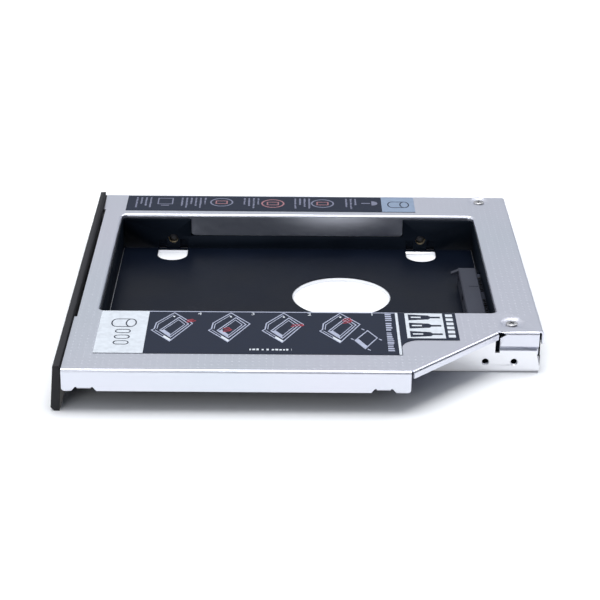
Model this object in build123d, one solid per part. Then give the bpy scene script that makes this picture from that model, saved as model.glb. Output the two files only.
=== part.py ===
from build123d import *
import math
import os

# A caddy that puts a 2.5 inch drive into the 12.7 mm optical bay of a laptop.
# It is modelled in millimetres, lying on its shell: +X to the rear plugs, +Z up.
# While it is built, x = 0 is the front edge of the cover, y = 0 the outer face
# of the wing and z = 0 the underside of the shell. The pieces are moved at the
# end so that the origin is under the middle of the whole caddy.

# Level of the deck over the underside of the shell
deck_height = 11.9

# How far a cutter reaches past the face that it cuts
overrun = 1.0

# Folded sheet: the cover is thin, the shell is thicker
cover_sheet = 0.5
cover_bend = 0.85
shell_sheet = 1.0
shell_bend = 1.2
sheet_gap = 0.1
corner_gap = 0.25
shell_front = 1.2

# Seam at the near rear corner of the shell, where a key of the moulding shows
corner_seam = ((0.3, 1.6), (0.7, 6.5))
corner_seam_depth = 2.4
corner_key_gap = 0.1

# Plan of the cover: a wing that overhangs, cut back at 45 degrees
wing_depth = 24.6
rear_step = 11.9
front_recess_depth = 0.7
front_recess_near_inset = 8.4
front_recess_far_inset = 12.8

# How far each flange of the cover comes down from the deck
near_flange_drop = 6.0
diagonal_flange_drop = 2.1
rear_flange_drop = 3.9
far_flange_drop = 6.0
flange_corner = 0.8

# Clips that fold in from the lower edge of the near flange
clip_front_inset = 5.75
clip_rear_inset = 7.3
clip_width = 3.6
clip_opening = 6.4
clip_relief = 1.1
clip_raise = 0.5
clip_reach = 3.2
clip_slope = 0.2

# Tab of the cover that tucks in behind the near wall of the shell
tuck_lead = 0.2
tuck_rear_inset = 1.25
tuck_face_drop = 4.1
tuck_joggle = 1.3
tuck_drop = 7.0
tuck_slot_drop = 6.0
tuck_slot_width = 1.2
tuck_relief = ((0, 0), (1.7, 0.75), (0, 1.7))

# The 2.5 inch drive that the bay takes, and its screw holes
drive_length = 100.2
drive_width = 69.85
drive_side_play = 1.75
drive_slide = 5.8
drive_hole_setback = 14.0
drive_hole_pitch = 76.6
drive_side_hole_rise = 3.0
drive_base_hole_inset = 5.4

# What is left round the bay. With the bay and the wing it adds up to the 126.1
# by 128 mm of a slim optical drive, which the caddy takes the place of
front_rail = 6.5
near_rail = 13.4
far_rail = 18.4
rear_room = 11.6
bay_rear_play = 2.0

# Opening over the bay
opening_front_margin = 0.3
opening_rear_margin = 0.1
opening_near_margin = 0.3
opening_far_margin = 0.9
opening_corner = 1.8
lip_drop = 1.3
far_tab_front_inset = 21.3
far_tab_rear_inset = 21.7
far_tab_drop = 6.8
far_tab_corner = 1.0

# Stamped dishes and the countersunk screws that hold the cover
near_dish_inset = (8.0, 6.7)
far_dish_inset = (8.4, 3.8)
dish_radius = 3.6
dish_floor_radius = 2.1
dish_depth = 0.6
screw_radius = 0.95
screw_hole_gap = 0.05
cover_screw_head_radius = 1.65
cover_screw_head = 0.45
cover_screw_length = 5.0
driver_slot = 0.4
driver_reach = 1.0
driver_depth = 0.3

# Screws that hold the shell to the frame from below
base_screw_front_inset = 3.0
base_screw_rear_insets = (15.5, 2.5)
base_screw_near_inset = 7.1
base_screw_far_inset = 8.6
base_screw_head_radius = 1.8
base_screw_head = 0.8
base_screw_length = 4.5
base_screw_sink = 0.05

# Holes in the shell
bracket_hole_radius = 1.0
bracket_hole_height = 3.2
bracket_hole_pitch = 7.7
bracket_hole_setback = 7.7
bracket_hole_depth = 4.9
floor_hole_inset = (66.7, 34.6)
floor_hole_radius = 14.06
drain_hole_radius = 4.5
drain_hole_straight = 3.8
side_access_radius = 2.9
access_gap = 0.05
access_wall = 1.2

# Black moulded frame
wall_gap = 0.15
frame_wall = 1.5
frame_floor = 1.2
bay_wall = 1.8
bay_far_wall = 3.3
bulkhead = 1.7
bulkhead_clearance = 1.1
rib = 1.2
rib_cell_count = 5
boss_radius = 2.4
wing_skin = 1.2
wing_end_inset = 2.0
pad_width = 4.0
pad_relief = 0.2
ledge_width = 8.8
ledge_steps = ((2.3, 0.9), (3.9, 0.4))
moulding_corner = 0.6

# Insulating film on the floor of the bay
film = 0.2
film_gap = 0.2
film_hole_margin = 0.3

# Side screws, in brass inserts in the far wall of the bay
insert_radius = 1.9
insert_bore_gap = 0.05
insert_flange_radius = 2.5
insert_flange = 0.6
insert_lip = 0.4
side_screw_radius = 1.45
side_screw_tip_inset = 1.5
side_screw_head_radius = 2.4
side_screw_head = 1.7

# Front bezel
bezel_height = 12.8
bezel_top_front = -2.05
bezel_low_front = -3.0
bezel_low_height = 1.0
bezel_foot_front = -2.2
bezel_back_top = -0.1
bezel_back_foot = -0.7
bezel_rebate_width = 0.35
bezel_rebate_drop = 1.1
bezel_end_inset = 0.3
bezel_edge = 0.3
hook_inset = 6.4
hook_width = 5.0
hook_low = 4.6
hook_thickness = 1.3
hook_nose = 0.8
hook_slot_gap = 0.1
hook_nose_length = 1.4

# Interface board, behind the drive socket
board_sheet = 1.0
board_underside = 2.6
board_depth = 7.6
board_near_inset = 10.0
board_far_margin = 2.1
board_screw_setback = 3.9
board_screw_inset = 2.4
board_screw_head_radius = 1.7
board_screw_head = 0.8
board_screw_length = 2.4
board_hole_gap = 0.15
room_floor = 0.8
room_margin = 0.6

# Contacts of both connectors
contact_sheet = 0.2
contact_width = 0.5
tail_length = 1.5
pin_pitch = 1.27
signal_pin_count = 7

# Socket that takes the plug of the drive
socket_engagement = 4.6
socket_depth = 5.2
socket_near_inset = 3.9
socket_width = 40.4
socket_low = 1.6
socket_high = 6.6
socket_first_pin = 5.3
power_pin_count = 15
segment_spacing = 6.35
slot_margin = 1.5
slot_height = 1.4
slot_depth = 4.2
slot_key = 1.3
guide_reach = 2.1
guide_width = 1.5
guide_low = 4.9
guide_tip = (4.8, 5.2)
socket_end_step = (2.4, 0.2)
seam_width = 0.3
seam_length = 3.2
seam_depth = 0.15
socket_edge = 0.3
spring_rise = 0.5
spring_run = 1.2

# Plug at the rear that the laptop takes
host_near_inset = 0.9
host_width = 26.0
host_low = 2.0
host_top_gap = 1.0
host_rear_inset = 0.1
host_wall = 0.8
host_power_pin_count = 6
host_power_pitch = 1.0
host_first_pin = 4.1
host_segment_spacing = 5.6
host_clear = 0.3
tongue_thickness = 1.2
tongue_margin = 1.0

# Metal tabs that hold the connectors down
peg_width = 0.8
peg_length = 1.6
peg_sheet = 0.4
peg_rise = 0.6

# Small parts on the board
chip_setback = 4.8
capacitor_length = 2.0
capacitor_width = 1.25
capacitor_height = 1.2
capacitor_insets = (19.0, 14.8, 10.6)
resistor_length = 1.6
resistor_width = 0.8
resistor_height = 0.45
resistor_insets = (7.0, 5.5)
chip_end = 0.35
chip_waist = 0.05

# Stickers on the deck
sticker = 0.1
near_label_front = 7.2
near_label_length = 80.4
near_label_width = 26.75
near_label_gap = 0.1
near_label_block_length = 15.5
near_label_block_width = 17.4
near_label_fillet = 5.0
far_label_front = 6.9
far_label_length = 90.1
far_label_width = 12.8
far_label_far_inset = 1.4

# Levels that follow from the sizes above
cover_underside = deck_height - cover_sheet
shell_top = deck_height - cover_bend
floor_top = shell_sheet + film
dish_underside = deck_height - dish_depth - cover_sheet
clip_underside = deck_height - near_flange_drop + clip_raise
wing_skin_low = clip_underside + cover_sheet + sheet_gap
wing_low_wall_top = wing_skin_low - sheet_gap
side_hole_height = floor_top + drive_side_hole_rise
board_top = board_underside + board_sheet
room_level = shell_sheet + room_floor
bulkhead_low = board_top + bulkhead_clearance
tuck_foot = deck_height - tuck_drop - sheet_gap * 2
host_high = deck_height - rear_flange_drop - host_top_gap

# The drive pushed home, the bay round it and the module round the bay
bay_front = front_rail
drive_end = bay_front + drive_slide + drive_length
bay_rear = drive_end + bay_rear_play
bay_near = wing_depth + near_rail
bay_far = bay_near + drive_width + drive_side_play
module_length = bay_rear + rear_room
module_width = bay_far + far_rail
wing_length = module_length - rear_step - wing_depth

# Outer and inner faces of the shell and the frame
shell_rear = module_length - cover_sheet - sheet_gap
shell_near = wing_depth
shell_far = module_width - cover_sheet - sheet_gap
frame_front = shell_front + shell_sheet + wall_gap
frame_rear = shell_rear - shell_sheet - wall_gap
frame_near = shell_near + shell_sheet + wall_gap
frame_far = shell_far - shell_sheet - wall_gap
wing_end = wing_length - wing_end_inset

# Opening and the places that follow the drive
opening_front = bay_front - opening_front_margin
opening_rear = bay_rear + opening_rear_margin
opening_near = bay_near - opening_near_margin
opening_far = bay_far + opening_far_margin
side_hole_places = (drive_end - drive_hole_setback - drive_hole_pitch, drive_end - drive_hole_setback)
drain_hole_y = bay_far - drive_base_hole_inset
rib_pitch = drive_hole_pitch / rib_cell_count
rib_places = [side_hole_places[0] + rib_pitch * (step - 0.5) for step in range(rib_cell_count + 2)]

# Places of the other holes, screws and hooks
tuck_start = wing_length + wing_depth + tuck_lead
tuck_end = module_length - tuck_rear_inset
clip_centres = (clip_front_inset, wing_length - clip_rear_inset)
far_tab_start = opening_front + far_tab_front_inset
far_tab_end = opening_rear - far_tab_rear_inset
dish_places = (
    (module_length - near_dish_inset[0], wing_depth + near_dish_inset[1]),
    (module_length - far_dish_inset[0], module_width - far_dish_inset[1]),
)
base_screw_near = wing_depth + base_screw_near_inset
base_screw_far = shell_far - base_screw_far_inset
base_screw_places = (
    (bay_front + base_screw_front_inset, base_screw_near),
    (bay_rear - base_screw_rear_insets[0], base_screw_near),
    (bay_front + base_screw_front_inset, base_screw_far),
    (bay_rear - base_screw_rear_insets[1], base_screw_far),
)
last_bracket_hole = module_length - bracket_hole_setback
bracket_hole_places = (last_bracket_hole - bracket_hole_pitch, last_bracket_hole)
floor_hole_x = bay_front + floor_hole_inset[0]
floor_hole_y = bay_near + floor_hole_inset[1]
hook_places = (shell_near + hook_inset, (shell_near + shell_far) / 2, shell_far - hook_inset)

# Connectors and board
socket_front = drive_end - socket_engagement
socket_near = bay_near + socket_near_inset
socket_far = socket_near + socket_width
board_front = socket_front + socket_depth
board_rear = board_front + board_depth
board_near = shell_near + board_near_inset
board_far = socket_far + board_far_margin
board_screw_x = board_front + board_screw_setback
board_screw_places = (board_near + board_screw_inset, board_far - board_screw_inset)
host_near = board_near + host_near_inset
host_far = host_near + host_width
host_rear = module_length - host_rear_inset
chip_x = board_front + chip_setback
capacitor_places = [board_far - inset for inset in capacitor_insets]
resistor_places = [board_far - inset for inset in resistor_insets]

# Stickers
near_label_x = (near_label_front, near_label_front + near_label_length)
near_label_far = opening_near - cover_bend - near_label_gap
near_label_y = (near_label_far - near_label_width, near_label_far)
near_label_block_x = near_label_x[1] + near_label_block_length
near_label_block_y = near_label_y[1] - near_label_block_width
far_label_x = (far_label_front, far_label_front + far_label_length)
far_label_far = module_width - far_label_far_inset
far_label_y = (far_label_far - far_label_width, far_label_far)
bezel_reach = -bezel_low_front


def block(x, y, z):
    """A box between two x, two y and two z values."""
    size = Box(x[1] - x[0], y[1] - y[0], z[1] - z[0])
    return Pos((x[0] + x[1]) / 2, (y[0] + y[1]) / 2, (z[0] + z[1]) / 2) * size


def post(x, y, radius, low, high):
    """An upright cylinder."""
    return Pos(x, y, (low + high) / 2) * Cylinder(radius, high - low)


def rod(x, z, radius, near, far):
    """A cylinder along Y."""
    return Pos(x, (near + far) / 2, z) * Rot(90, 0, 0) * Cylinder(radius, far - near)


def plate(points, low, high):
    """A flat plate with a polygon outline."""
    outline = make_face(Polyline(*points, close=True))
    return Pos(0, 0, low) * extrude(outline, high - low)


def rounded_plate(x, y, low, high, corner):
    """A rectangular plate with round corners."""
    outline = RectangleRounded(x[1] - x[0], y[1] - y[0], corner)
    middle = Pos((x[0] + x[1]) / 2, (y[0] + y[1]) / 2, low)
    return middle * extrude(outline, high - low)


def run_along(points, near, far):
    """A section given in x and z, run along Y."""
    outline = make_face(Polyline(*[(x, 0, z) for x, z in points], close=True))
    return Pos(0, near, 0) * extrude(outline, far - near, dir=(0, 1, 0))


def fold(start, end, level, drop, sheet, bend, corner=0.0, tail=()):
    """
    A flange folded from a plate: its outer face stands on the line from start to
    end, with the plate on the left. A positive drop folds down, a negative up.
    tail holds (inset, drop) points of a joggle below the straight face.
    """
    way = math.copysign(1, drop)
    along = Vector(end[0] - start[0], end[1] - start[1], 0)
    inward = Vector(0, 0, 1).cross(along).normalized()
    frame = Plane(origin=(start[0], start[1], level), x_dir=inward, z_dir=along)
    outer = [(0, -way * bend), (0, -drop)] + [(inset, -fall) for inset, fall in tail]
    inner = [(inset + sheet, -fall) for inset, fall in reversed(tail)]
    inner += [(sheet, -drop), (sheet, -way * bend)]
    sides = Polyline(*(outer + inner))
    centre = (bend, -way * bend)
    turn = way * 90
    inside = CenterArc(centre, bend - sheet, 180, -turn)
    outside = CenterArc(centre, bend, way * 90, turn)
    end_cut = Line((bend, -way * sheet), (bend, 0))
    section = make_face(sides + inside + end_cut + outside)
    flange = extrude(frame * section, along.length, dir=along)
    if corner:
        edges = flange.edges().filter_by(Axis((0, 0, 0), inward)).sort_by(Axis.Z)
        tips = edges[:2] if way > 0 else edges[-2:]
        flange = fillet(tips, corner)
    return flange


def cover_outline(inset):
    """Plan of the cover drawn in by an inset on every flanged side."""
    slant = inset * (math.sqrt(2) - 1)
    return [
        (0, inset),
        (wing_length - slant, inset),
        (wing_length + wing_depth - slant, wing_depth + inset),
        (module_length - inset, wing_depth + inset),
        (module_length - inset, module_width - inset),
        (0, module_width - inset),
    ]


def cover_plate():
    deck = plate(cover_outline(cover_bend), cover_underside, deck_height)
    height = (cover_underside, deck_height)
    recess_y = (wing_depth + front_recess_near_inset, module_width - front_recess_far_inset)
    deck -= block((-overrun, front_recess_depth), recess_y, height)
    return deck


def cover_lip():
    """The rim turned down all round the opening, with the tab at its far side."""
    margin = cover_bend + cover_sheet
    wide_x = (opening_front - margin, opening_rear + margin)
    wide_y = (opening_near - margin, opening_far + margin)
    low = deck_height - lip_drop
    corner = opening_corner + margin
    rim = rounded_plate(wide_x, wide_y, low, deck_height, corner)
    opening_x = (opening_front, opening_rear)
    opening_y = (opening_near, opening_far)
    rim -= rounded_plate(opening_x, opening_y, low, deck_height, opening_corner)
    top = rim.faces().sort_by(Axis.Z)[-1]
    rim = fillet(top.inner_wires()[0].edges(), cover_bend)
    sheet_x = (opening_front - cover_sheet, opening_rear + cover_sheet)
    sheet_y = (opening_near - cover_sheet, opening_far + cover_sheet)
    under = rounded_plate(wide_x, wide_y, low, cover_underside, corner)
    under -= rounded_plate(sheet_x, sheet_y, low, cover_underside, opening_corner + cover_sheet)
    tab_y = (opening_far, opening_far + cover_sheet)
    tab_z = (deck_height - far_tab_drop, deck_height - lip_drop)
    tab = block((far_tab_start, far_tab_end), tab_y, tab_z)
    tips = tab.edges().filter_by(Axis.Y).group_by(Axis.Z)[0]
    return rim - under + fillet(tips, far_tab_corner)


def clip(centre):
    """A clip folded in under the wing from the lower edge of the near flange."""
    bend = cover_sheet + sheet_gap
    top = clip_underside + clip_relief
    run = (centre - clip_width / 2, centre + clip_width / 2)
    hook = block(run, (0, clip_reach), (clip_underside, top))
    hook -= block(run, (cover_sheet, clip_reach), (clip_underside + cover_sheet, top))
    edge = hook.edges().filter_by(Axis.X).sort_by(lambda e: e.center().Y + e.center().Z)[0]
    return fillet(edge, bend)


def clip_gap(centre):
    """The opening in the lower edge of the near flange round a clip."""
    low = deck_height - near_flange_drop - overrun
    foot = deck_height - near_flange_drop
    top = clip_underside + clip_relief - clip_raise
    half = clip_opening / 2
    slope = top - foot - clip_slope
    points = [
        (centre - half, low),
        (centre - half, foot),
        (centre - half + slope, top),
        (centre + half - slope, top),
        (centre + half, foot),
        (centre + half, low),
    ]
    return run_along(points, -overrun, cover_sheet + overrun)


def dish(x, y):
    """Sheet and cutter of a stamped dish: a flat floor and a sloping side."""
    floor = deck_height - dish_depth
    sheet_points = [
        (0, floor - cover_sheet),
        (dish_floor_radius, floor - cover_sheet),
        (dish_radius, cover_underside),
        (dish_radius, deck_height),
        (dish_floor_radius, floor),
        (0, floor),
    ]
    void_points = [
        (0, floor),
        (dish_floor_radius, floor),
        (dish_radius, deck_height),
        (dish_radius, deck_height + overrun),
        (0, deck_height + overrun),
    ]
    solids = []
    for points in (sheet_points, void_points):
        profile = make_face(Polyline(*[(r, 0, z) for r, z in points], close=True))
        solids.append(Pos(x, y, 0) * revolve(profile, Axis.Z))
    return solids


def make_top_cover():
    lip_margin = cover_bend + cover_sheet
    hole_x = (opening_front - lip_margin, opening_rear + lip_margin)
    hole_y = (opening_near - lip_margin, opening_far + lip_margin)
    cover = cover_plate()
    cover -= rounded_plate(hole_x, hole_y, 0, deck_height, opening_corner + lip_margin)
    cover += cover_lip()

    slant = cover_bend * (math.sqrt(2) - 1)
    near = fold((0, 0), (wing_length - slant, 0), deck_height, near_flange_drop,
                cover_sheet, cover_bend, flange_corner)
    for centre in clip_centres:
        near -= clip_gap(centre)
        near += clip(centre)
    cover += near

    step = corner_gap + slant
    shift = step / math.sqrt(2)
    diagonal_start = (wing_length + shift, shift)
    diagonal_end = (wing_length + wing_depth - corner_gap, wing_depth - corner_gap)
    cover += fold(diagonal_start, diagonal_end, deck_height, diagonal_flange_drop,
                  cover_sheet, cover_bend)

    tuck = shell_sheet + sheet_gap
    joggle = [(tuck, tuck_face_drop + tuck_joggle), (tuck, tuck_drop)]
    cover += fold((tuck_start, wing_depth), (tuck_end, wing_depth), deck_height,
                  tuck_face_drop, cover_sheet, cover_bend, tail=joggle)
    relief = [(tuck_start + inset, deck_height - drop) for inset, drop in tuck_relief]
    cover -= run_along(relief, wing_depth - overrun, wing_depth + cover_bend)

    rear_start = (module_length, wing_depth + cover_bend)
    rear_end = (module_length, module_width - cover_bend)
    cover += fold(rear_start, rear_end, deck_height, rear_flange_drop,
                  cover_sheet, cover_bend, flange_corner)

    far_start = (module_length - cover_bend, module_width)
    far = fold(far_start, (0, module_width), deck_height, far_flange_drop,
               cover_sheet, cover_bend, flange_corner)
    for x in side_hole_places:
        radius = side_access_radius + access_gap
        inner = module_width - cover_sheet - overrun
        far -= rod(x, side_hole_height, radius, inner, module_width + overrun)
    cover += far

    bounds = plate(cover_outline(0), 0, deck_height)
    for x, y in dish_places:
        sheet, void = dish(x, y)
        cover -= void
        cover += sheet & bounds
        cover -= post(x, y, screw_radius + screw_hole_gap, 0, deck_height)
    return cover


def make_bottom_shell():
    floor_x = (shell_front + shell_bend, shell_rear - shell_bend)
    floor_y = (shell_near + shell_bend, shell_far - shell_bend)
    shell = block(floor_x, floor_y, (0, shell_sheet))
    near_end = shell_rear - sheet_gap * 3
    walls = [
        ((shell_front, shell_near), (near_end, shell_near)),
        ((shell_rear, floor_y[0] + sheet_gap), (shell_rear, floor_y[1] - sheet_gap)),
        ((near_end, shell_far), (shell_front, shell_far)),
        ((shell_front, floor_y[1] - sheet_gap), (shell_front, floor_y[0] + sheet_gap)),
    ]
    for start, end in walls:
        shell += fold(start, end, 0, -shell_top, shell_sheet, shell_bend)

    # The near wall is low along the moulded wing and notched for the tuck of the cover
    wall_y = (shell_near - overrun, shell_near + shell_bend)
    shell -= block((0, wing_end + wall_gap), wall_y, (wing_low_wall_top, deck_height))
    notch = tuck_start - tuck_slot_width
    tuck_top = deck_height - tuck_face_drop - tuck_joggle
    slot_top = deck_height - tuck_slot_drop
    shell -= block((notch, module_length), wall_y, (tuck_top, deck_height))
    shell -= block((notch, tuck_start), wall_y, (slot_top, deck_height))
    tuck_y = (shell_near, shell_near + shell_sheet + cover_sheet + sheet_gap * 3)
    shell -= block((shell_rear - shell_sheet, module_length), tuck_y, (tuck_foot, deck_height))

    # The near and rear walls don't meet: a seam that widens upward is left between them
    (low_width, seam_low), (high_width, seam_high) = corner_seam
    rear = shell_rear + overrun
    shell -= run_along([
        (shell_rear - low_width, seam_low),
        (shell_rear - high_width, seam_high),
        (shell_rear - high_width, deck_height),
        (rear, deck_height),
        (rear, seam_low),
    ], shell_near - overrun, frame_near)
    seam_y = (frame_near - wall_gap, shell_near + corner_seam_depth)
    shell -= block((frame_rear + sheet_gap, rear), seam_y, (seam_low, deck_height))

    for x in bracket_hole_places:
        inner = shell_near + shell_sheet + overrun
        shell -= rod(x, bracket_hole_height, bracket_hole_radius, shell_near - overrun, inner)
    for x in side_hole_places:
        inner = shell_far - shell_sheet - overrun
        shell -= rod(x, side_hole_height, side_access_radius, inner, shell_far + overrun)

    # Holes in the floor: a round one in the middle and two by the side screws
    shell -= post(floor_hole_x, floor_hole_y, floor_hole_radius, -overrun, shell_sheet + overrun)
    for x in side_hole_places:
        shell -= drain_hole(x, drain_hole_radius, -overrun, shell_sheet + overrun)

    for x, y in base_screw_places:
        shell -= base_screw_void(x, y)

    # The rear wall is open for the host plug, the front wall for the bezel hooks
    plug_y = (host_near - host_clear, host_far + host_clear)
    rear_x = (shell_rear - shell_sheet - overrun, shell_rear + overrun)
    shell -= block(rear_x, plug_y, (host_low - host_clear, deck_height))
    for y in hook_places:
        half = hook_width / 2 + host_clear
        slot_z = (hook_low - hook_slot_gap, hook_low + hook_thickness + hook_slot_gap)
        front_x = (shell_front - overrun, shell_front + shell_sheet + overrun)
        shell -= block(front_x, (y - half, y + half), slot_z)

    far_x, far_y = dish_places[1]
    shell -= post(far_x, far_y, dish_radius + wall_gap * 3, dish_underside - sheet_gap, deck_height)
    return shell


def drain_hole(x, radius, low, high):
    """A half round hole, with straight sides up to the far wall of the bay."""
    arch = post(x, drain_hole_y, radius, low, high)
    straight_y = (drain_hole_y, drain_hole_y + drain_hole_straight)
    arch -= block((x - radius, x + radius), (straight_y[0], drain_hole_y + radius), (low, high))
    return arch + block((x - radius, x + radius), straight_y, (low, high))


def base_screw_void(x, y):
    """Countersink and hole for a screw in the floor of the shell."""
    grow = screw_hole_gap
    cone = Pos(x, y, base_screw_head / 2) * Cone(base_screw_head_radius + grow,
                                                screw_radius + grow, base_screw_head)
    return cone + post(x, y, screw_radius + grow, -overrun, shell_sheet + overrun)


def frame_blank():
    """Outer form of the moulding: the body inside the shell and the wing beside it."""
    top = cover_underside
    body = block((frame_front, frame_rear), (frame_near, frame_far), (shell_sheet, top))
    body = fillet(body.edges().filter_by(Axis.Z), moulding_corner)
    body = chamfer(body.edges().group_by(Axis.Z)[0], shell_bend - shell_sheet + sheet_gap)
    wing_y = (cover_sheet + wall_gap, frame_near + frame_wall)
    wing = block((frame_front, wing_end), wing_y, (wing_skin_low, top))
    rim = wing.edges().filter_by(Axis.X).group_by(Axis.Z)[-1].sort_by(Axis.Y)[0]
    return body + chamfer(rim, cover_bend - cover_sheet)


def wing_hollow():
    """The cells of the wing between its ribs."""
    near = cover_sheet + wall_gap + rib
    far = shell_near - wall_gap - rib
    hollow_x = (frame_front + frame_wall, wing_end - rib)
    hollow = block(hollow_x, (near, far), (wing_skin_low + wing_skin, deck_height))
    for x in rib_places:
        hollow -= block((x - rib / 2, x + rib / 2), (0, shell_near), (0, deck_height))
    middle = (near + far) / 2
    return hollow - block(hollow_x, (middle - rib / 2, middle + rib / 2), (0, deck_height))


def channel(x, y, low):
    """A row of cells between two walls, with ribs across it."""
    cells = block(x, y, (low, deck_height))
    for place in rib_places:
        cells -= block((place - rib / 2, place + rib / 2), y, (low, deck_height))
    return cells


def make_drive_frame():
    frame = frame_blank()
    low = shell_sheet + frame_floor

    # The bay goes right through, with a rebate for the rim of the cover
    through = (0, deck_height)
    frame -= block((bay_front, bay_rear), (bay_near, bay_far), through)
    margin = cover_sheet + sheet_gap
    rebate_x = (opening_front - margin, opening_rear + margin)
    rebate_y = (opening_near - margin, opening_far + margin)
    rebate_low = deck_height - lip_drop - sheet_gap
    frame -= rounded_plate(rebate_x, rebate_y, rebate_low, deck_height, opening_corner)
    tab_x = (far_tab_start - wall_gap, far_tab_end + wall_gap)
    tab_y = (bay_far - overrun, opening_far + cover_sheet + wall_gap)
    frame -= block(tab_x, tab_y, (deck_height - far_tab_drop - wall_gap, deck_height))

    # Cells of the near rail, the far rail and the wing
    cell_x = (frame_front + frame_wall, frame_rear - frame_wall)
    frame -= channel(cell_x, (frame_near + frame_wall, bay_near - bay_wall), low)
    frame -= channel(cell_x, (bay_far + bay_far_wall, frame_far - frame_wall), low)
    frame -= wing_hollow()

    # Rear compartment for the board, reached under the bulkhead
    room_x = (bay_rear + bulkhead, frame_rear - frame_wall)
    room_y = (board_near - room_margin, bay_far - bay_wall)
    frame -= block(room_x, room_y, (room_level, deck_height))
    pass_y = (board_near - wall_gap, board_far + wall_gap)
    pass_x = (board_front - wall_gap, bay_rear + bulkhead)
    frame -= block(pass_x, pass_y, (room_level, bulkhead_low))
    plug_y = (host_near - host_clear, host_far + host_clear)
    rear_x = (frame_rear - frame_wall - overrun, frame_rear + overrun)
    frame -= block(rear_x, plug_y, (host_low - host_clear, deck_height))

    # Bosses for the screws
    for x, y in base_screw_places:
        frame += post(x, y, boss_radius, shell_sheet, shell_sheet + base_screw_length + frame_wall)
    for x, y in dish_places:
        reach = post(x, y, boss_radius, low, dish_underside)
        frame += reach & block((frame_front, frame_rear), (frame_near, frame_far), (0, deck_height))
        frame -= post(x, y, dish_radius + wall_gap * 3, dish_underside, deck_height)
    for y in board_screw_places:
        frame += post(board_screw_x, y, boss_radius, room_level, board_underside)
    hole = screw_radius + screw_hole_gap
    for x, y in base_screw_places:
        frame -= post(x, y, hole, 0, shell_sheet + base_screw_length)
    for x, y in dish_places:
        frame -= post(x, y, hole, dish_underside - cover_screw_length, deck_height)
    for y in board_screw_places:
        frame -= post(board_screw_x, y, hole, shell_sheet, board_top)

    # Seats of the side screw inserts: behind a lip, in a pad between stepped ledges
    # on the face towards the drive, with a guide for the screwdriver on the other side
    access = side_access_radius + access_gap
    above_floor = block((frame_front, frame_rear), (bay_far, frame_far), (low, deck_height))
    for x in side_hole_places:
        for top, depth in ledge_steps:
            ledge_x = (x - ledge_width / 2, x + ledge_width / 2)
            frame -= block(ledge_x, (bay_far, bay_far + depth), (shell_sheet, top))
        pad_y = (bay_far - pad_relief, bay_far + ledge_steps[0][1])
        pad_z = (shell_sheet, side_hole_height)
        frame += block((x - pad_width / 2, x + pad_width / 2), pad_y, pad_z)
        seat = bay_far + bay_far_wall
        frame += rod(x, side_hole_height, access + access_wall, seat, frame_far) & above_floor
        mouth = side_screw_radius + screw_hole_gap
        frame -= rod(x, side_hole_height, mouth, bay_far - overrun, seat)
        frame -= rod(x, side_hole_height, insert_radius + insert_bore_gap, bay_far + insert_lip, seat)
        frame -= rod(x, side_hole_height, access, seat, frame_far + overrun)

    # Key behind the corner seam of the shell
    key_x = (frame_rear - moulding_corner, shell_rear - corner_key_gap)
    key_y = (frame_near, shell_near + corner_seam_depth - corner_key_gap)
    frame += block(key_x, key_y, (corner_seam[0][1] + corner_key_gap, shell_top))

    # Room for the tuck of the cover, the bracket screws and the bezel hooks
    tuck_inner = shell_near + shell_sheet + sheet_gap + cover_sheet + wall_gap
    tuck_x = (tuck_start - tuck_slot_width, module_length)
    tuck_low = deck_height - tuck_drop - wall_gap
    frame -= block(tuck_x, (0, tuck_inner), (tuck_low, deck_height))
    for x in bracket_hole_places:
        clear = bracket_hole_radius + wall_gap * 2
        near = frame_near - overrun
        frame -= rod(x, bracket_hole_height, clear, near, shell_near + bracket_hole_depth)
    for y in hook_places:
        half = hook_width / 2 + host_clear
        nose_x = (frame_front - overrun, frame_front + hook_nose_length + host_clear)
        nose_z = (hook_low - hook_slot_gap, hook_low + hook_thickness + hook_nose + hook_slot_gap)
        frame -= block(nose_x, (y - half, y + half), nose_z)
    return frame


def make_insulating_film():
    film_x = (bay_front + film_gap, board_front - film_gap)
    film_y = (bay_near + film_gap, bay_far - pad_relief - film_gap)
    sheet = rounded_plate(film_x, film_y, shell_sheet, floor_top, moulding_corner)
    side_x = (film_x[1] - moulding_corner, bay_rear - film_gap)
    side_y = (board_far + wall_gap + film_gap, film_y[1])
    sheet += block(side_x, side_y, (shell_sheet, floor_top))
    radius = floor_hole_radius + film_hole_margin
    sheet -= post(floor_hole_x, floor_hole_y, radius, 0, deck_height)
    for x in side_hole_places:
        sheet -= drain_hole(x, drain_hole_radius + film_hole_margin / 2, 0, deck_height)
    return sheet


def make_front_bezel():
    rebate_x = bezel_back_top - bezel_rebate_width
    rebate_z = bezel_height - bezel_rebate_drop
    bezel = run_along([
        (bezel_top_front, bezel_height),
        (rebate_x, bezel_height),
        (rebate_x, rebate_z),
        (bezel_back_top, rebate_z),
        (bezel_back_foot, 0),
        (bezel_foot_front, 0),
        (bezel_low_front, bezel_low_height),
    ], bezel_end_inset, module_width - bezel_end_inset)
    front = bezel.edges().filter_by(Axis.Y).sort_by(Axis.X)[:1]
    crest = bezel.edges().filter_by(Axis.Y).sort_by(lambda e: e.center().X - e.center().Z)[:1]
    bezel = fillet(front + crest, bezel_edge)
    ends = bezel.faces().sort_by(Axis.Y)
    rims = ends[0].edges() + ends[-1].edges()
    bezel = chamfer([edge for edge in rims if edge.length > 1], bezel_edge / 2)

    # Snap hooks reach through the shell and catch behind its front wall
    catch = shell_front + shell_sheet + hook_slot_gap
    tip = frame_front + hook_nose_length
    high = hook_low + hook_thickness
    for y in hook_places:
        arm = run_along([
            (bezel_back_foot, hook_low),
            (tip, hook_low),
            (tip, high),
            (catch, high + hook_nose),
            (catch, high),
            (bezel_back_foot, high),
        ], y - hook_width / 2, y + hook_width / 2)
        bezel += arm
    return bezel


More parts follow.
